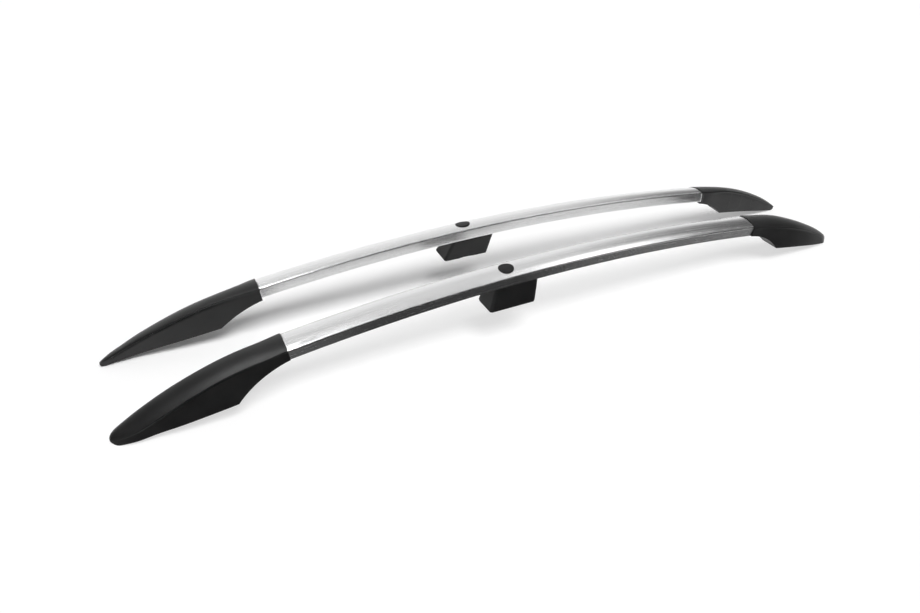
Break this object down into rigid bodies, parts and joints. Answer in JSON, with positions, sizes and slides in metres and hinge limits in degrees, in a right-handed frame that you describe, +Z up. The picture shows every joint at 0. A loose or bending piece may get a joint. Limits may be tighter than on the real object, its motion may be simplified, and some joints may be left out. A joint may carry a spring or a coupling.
{
  "type": "roof side rail pair",
  "caption": "Car roof side rails: arched satin tubes on tapered hollow black end feet, with a mid support, base plate and plugged fixing hole, to carry crossbars.",
  "frame": {"origin": "centre of the pair's box at the height of the floor that the foot noses stand on", "axes": "+X to the rear of the car, +Y to its right side, +Z up"},
  "size_m": [1.4914, 0.273, 0.1339],
  "materials": {
    "tube": "satin",
    "foot_plastic": "fine grain",
    "support_plastic": "fine grain",
    "plate_rubber": "matte",
    "plug_plastic": "matte",
    "pad_foam": "matte",
    "screw_steel": "bright"
  },
  "bodies": {
    "root": {"right_rail_tube": "tube", "right_front_foot": "foot_plastic", "right_rear_foot": "foot_plastic", "right_mid_support": "support_plastic", "right_base_plate": "plate_rubber", "right_hole_plug": "plug_plastic", "right_front_pad": "pad_foam", "right_rear_pad": "pad_foam", "right_front_foot_screw": "screw_steel", "right_rear_foot_screw": "screw_steel", "right_support_screw": "screw_steel", "right_plate_screw_front": "screw_steel", "right_plate_screw_rear": "screw_steel", "left_rail_tube": "tube", "left_front_foot": "foot_plastic", "left_rear_foot": "foot_plastic", "left_mid_support": "support_plastic", "left_base_plate": "plate_rubber", "left_hole_plug": "plug_plastic", "left_front_pad": "pad_foam", "left_rear_pad": "pad_foam", "left_front_foot_screw": "screw_steel", "left_rear_foot_screw": "screw_steel", "left_support_screw": "screw_steel", "left_plate_screw_front": "screw_steel", "left_plate_screw_rear": "screw_steel"}
  },
  "joints": []
}
